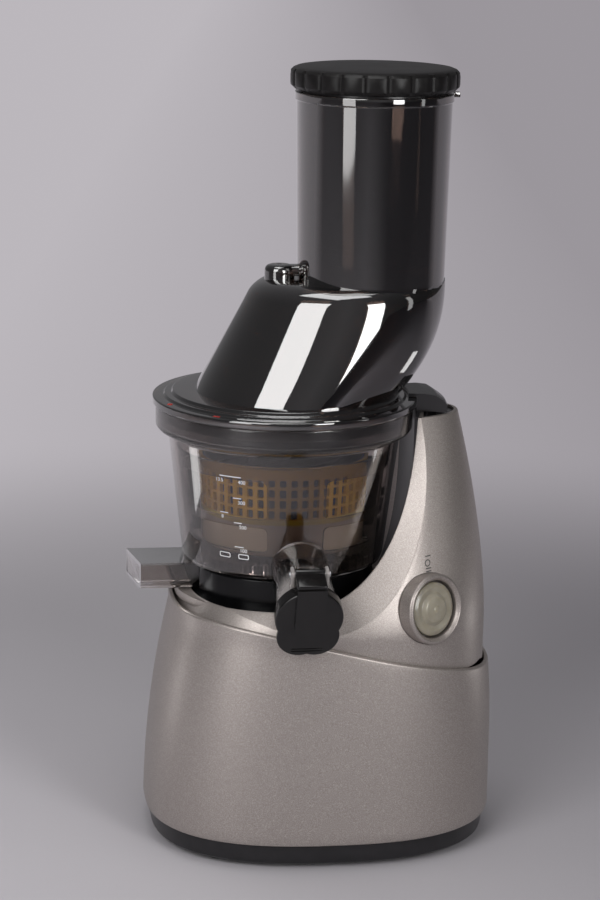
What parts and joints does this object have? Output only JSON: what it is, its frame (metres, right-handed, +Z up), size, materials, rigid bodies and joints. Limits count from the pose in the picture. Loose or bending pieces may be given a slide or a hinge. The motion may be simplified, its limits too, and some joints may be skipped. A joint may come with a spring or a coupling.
{
  "type": "cold press juicer",
  "caption": "Upright slow juicer: tapered motor base with a side tower, clear bowl with auger and strainer, offset hopper and wide feed tube with pusher.",
  "frame": {"origin": "centre of the bounding box's base, on the surface that the feet stand on", "axes": "+Z up, the juice spout points to -Y, the pulp spout to -X and the tower stands at +X"},
  "size_m": [0.214, 0.1992, 0.4486],
  "materials": {
    "silver_paint": "warm silver metallic paint, satin",
    "dark_plastic": "dark grey satin",
    "black_plastic": "gloss black",
    "rubber": "matt",
    "steel": "machined",
    "cream_rubber": "translucent cream silicone",
    "white_nylon": "satin",
    "copper_winding": "lacquered copper wire and steel core",
    "circuit_board": "green board",
    "smoky_clear": "smoky clear resin, gloss",
    "amber_resin": "translucent amber resin",
    "auger_resin": "dark satin resin"
  },
  "bodies": {
    "base": {"lower_shell": "silver_paint", "upper_body": "silver_paint", "recess_liner": "dark_plastic", "tower_top": "black_plastic", "bowl_seat": "black_plastic", "base_plate": "black_plastic", "foot_front_left": "rubber", "foot_front_right": "rubber", "foot_rear_left": "rubber", "foot_rear_right": "rubber", "base_screw_1": "steel", "base_screw_2": "steel", "base_screw_3": "steel", "base_screw_4": "steel", "switch_bezel": "silver_paint", "switch_body": "black_plastic", "motor_stator": "copper_winding", "motor_bracket": "steel", "gearbox_case": "dark_plastic", "gearbox_cover": "dark_plastic", "lower_bearing": "steel", "upper_bearing": "steel", "shaft_seal": "rubber", "control_board": "circuit_board", "capacitor": "dark_plastic", "cord_gland": "rubber", "interlock_sensor": "black_plastic"},
    "motor_drive": {"motor_rotor": "steel", "cooling_fan": "black_plastic"},
    "intermediate_drive": {"intermediate_gear": "white_nylon"},
    "output_drive": {"output_gear": "steel", "drive_shaft": "steel"},
    "switch": {"switch_rocker": "white_nylon", "switch_boot": "cream_rubber"},
    "bowl_unit": {"bowl": "smoky_clear", "hub_seal": "rubber", "pulp_packing": "rubber", "cap_hinge_pin": "steel", "strainer_frame": "amber_resin", "strainer_mesh": "steel"},
    "auger_unit": {"auger": "auger_resin", "auger_bush": "steel"},
    "brush_unit": {"brush_frame": "dark_plastic", "brush_wiper_left": "rubber", "brush_wiper_right": "rubber"},
    "brush_gear": {"brush_pinion": "white_nylon"},
    "cap_unit": {"juice_cap": "black_plastic", "cap_seal": "rubber"},
    "lid_unit": {"lid_hopper": "smoky_clear", "lid_lug": "black_plastic", "lid_magnet": "steel", "lid_gasket": "rubber", "top_bush": "white_nylon"},
    "pusher_unit": {"pusher_body": "dark_plastic", "pusher_seal": "rubber", "pusher_cap": "black_plastic"}
  },
  "joints": [
    {"name": "motor_spin", "type": "hinge", "parent": "base", "child": "motor_drive", "pos_m": [0.035, 0.01178, 0.06], "axis": [0, 0, 1], "continuous": true},
    {"name": "intermediate_spin", "type": "hinge", "parent": "base", "child": "intermediate_drive", "pos_m": [0.01653, 0.04613, 0.1], "axis": [0, 0, 1], "continuous": true},
    {"name": "drive_spin", "type": "hinge", "parent": "base", "child": "output_drive", "pos_m": [-0.017, 0.01178, 0.1], "axis": [0, 0, 1], "continuous": true},
    {"name": "switch_rock", "type": "hinge", "parent": "base", "child": "switch", "pos_m": [0.0591, -0.05409, 0.1494], "axis": [0.8387, 0.5446, 0], "range_deg": [-7, 7]},
    {"name": "bowl_lift", "type": "slide", "parent": "base", "child": "bowl_unit", "axis": [0, 0, 1], "range_m": [0, 0.12]},
    {"name": "auger_spin", "type": "hinge", "parent": "bowl_unit", "child": "auger_unit", "pos_m": [-0.017, 0.01178, 0.2], "axis": [0, 0, 1], "continuous": true},
    {"name": "brush_spin", "type": "hinge", "parent": "bowl_unit", "child": "brush_unit", "pos_m": [-0.017, 0.01178, 0.2], "axis": [0, 0, 1], "continuous": true},
    {"name": "brush_gear_spin", "type": "hinge", "parent": "bowl_unit", "child": "brush_gear", "pos_m": [0.017, 0.01178, 0.17], "axis": [0, 0, 1], "continuous": true},
    {"name": "juice_cap_turn", "type": "hinge", "parent": "bowl_unit", "child": "cap_unit", "pos_m": [-0.0145, -0.08577, 0.18055], "axis": [-1, 0, 0], "range_deg": [0, 100]},
    {"name": "lid_turn", "type": "hinge", "parent": "bowl_unit", "child": "lid_unit", "pos_m": [-0.017, 0.01178, 0.26], "axis": [0, 0, 1], "range_deg": [0, 30]},
    {"name": "pusher_slide", "type": "slide", "parent": "lid_unit", "child": "pusher_unit", "axis": [0, 0, 1], "range_m": [0, 0.11]}
  ],
  "couplings": [
    {"joint": "intermediate_spin", "follows": "motor_spin", "ratio": -0.3},
    {"joint": "drive_spin", "follows": "motor_spin", "ratio": 0.1},
    {"joint": "auger_spin", "follows": "motor_spin", "ratio": 0.1},
    {"joint": "brush_gear_spin", "follows": "motor_spin", "ratio": -0.1125},
    {"joint": "brush_spin", "follows": "motor_spin", "ratio": -0.036}
  ]
}
